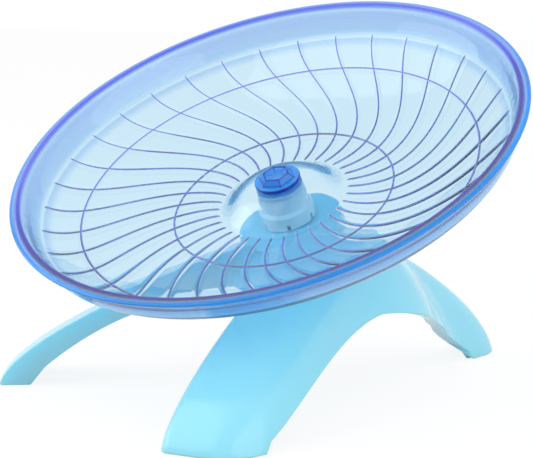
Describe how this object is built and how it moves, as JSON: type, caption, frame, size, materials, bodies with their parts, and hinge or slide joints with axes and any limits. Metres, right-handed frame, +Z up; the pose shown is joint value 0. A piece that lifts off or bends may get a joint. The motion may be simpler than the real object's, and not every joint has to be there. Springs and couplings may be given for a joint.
{
  "type": "flying saucer wheel",
  "caption": "Transparent ribbed running saucer for a small pet, spinning on a tilted bearing over a three-legged arched stand.",
  "frame": {"origin": "centre of the wheel's box on the floor, at the height of the feet", "axes": "+Z up; the dish leans towards -Y, its low side; +X to the right when looking along +Y"},
  "size_m": [0.18, 0.1832, 0.1294],
  "materials": {
    "dish_plastic": "clear blue moulded plastic, polished",
    "cap_plastic": "clear deep blue moulded plastic, polished",
    "housing_plastic": "milky translucent plastic, satin",
    "stand_plastic": "translucent cyan moulded plastic, semi-gloss",
    "nut_plastic": "teal plastic, satin",
    "cage_nylon": "natural nylon",
    "bearing_steel": "ground bearing steel",
    "shield_steel": "pressed steel",
    "axle_steel": "drawn steel"
  },
  "bodies": {
    "base": {"stand": "stand_plastic", "axle": "axle_steel", "axle_nut": "nut_plastic", "nut_washer": "shield_steel", "seat_washer": "shield_steel", "inner_race": "bearing_steel"},
    "spinner": {"running_dish": "dish_plastic", "hub_cap": "cap_plastic", "hub_housing": "housing_plastic", "outer_race": "bearing_steel", "upper_shield": "shield_steel", "lower_shield": "shield_steel"},
    "ball_train": {"bearing_cage": "cage_nylon", "ball_1": "bearing_steel", "ball_2": "bearing_steel", "ball_3": "bearing_steel", "ball_4": "bearing_steel", "ball_5": "bearing_steel", "ball_6": "bearing_steel", "ball_7": "bearing_steel"}
  },
  "joints": [
    {"name": "dish_spin", "type": "hinge", "parent": "base", "child": "spinner", "pos_m": [0, 0.0121, 0.0611], "axis": [0, -0.4924, 0.8704], "continuous": true},
    {"name": "cage_spin", "type": "hinge", "parent": "base", "child": "ball_train", "pos_m": [0, 0.0121, 0.0611], "axis": [0, -0.4924, 0.8704], "continuous": true}
  ],
  "couplings": [
    {"joint": "cage_spin", "follows": "dish_spin", "ratio": 0.62857}
  ]
}
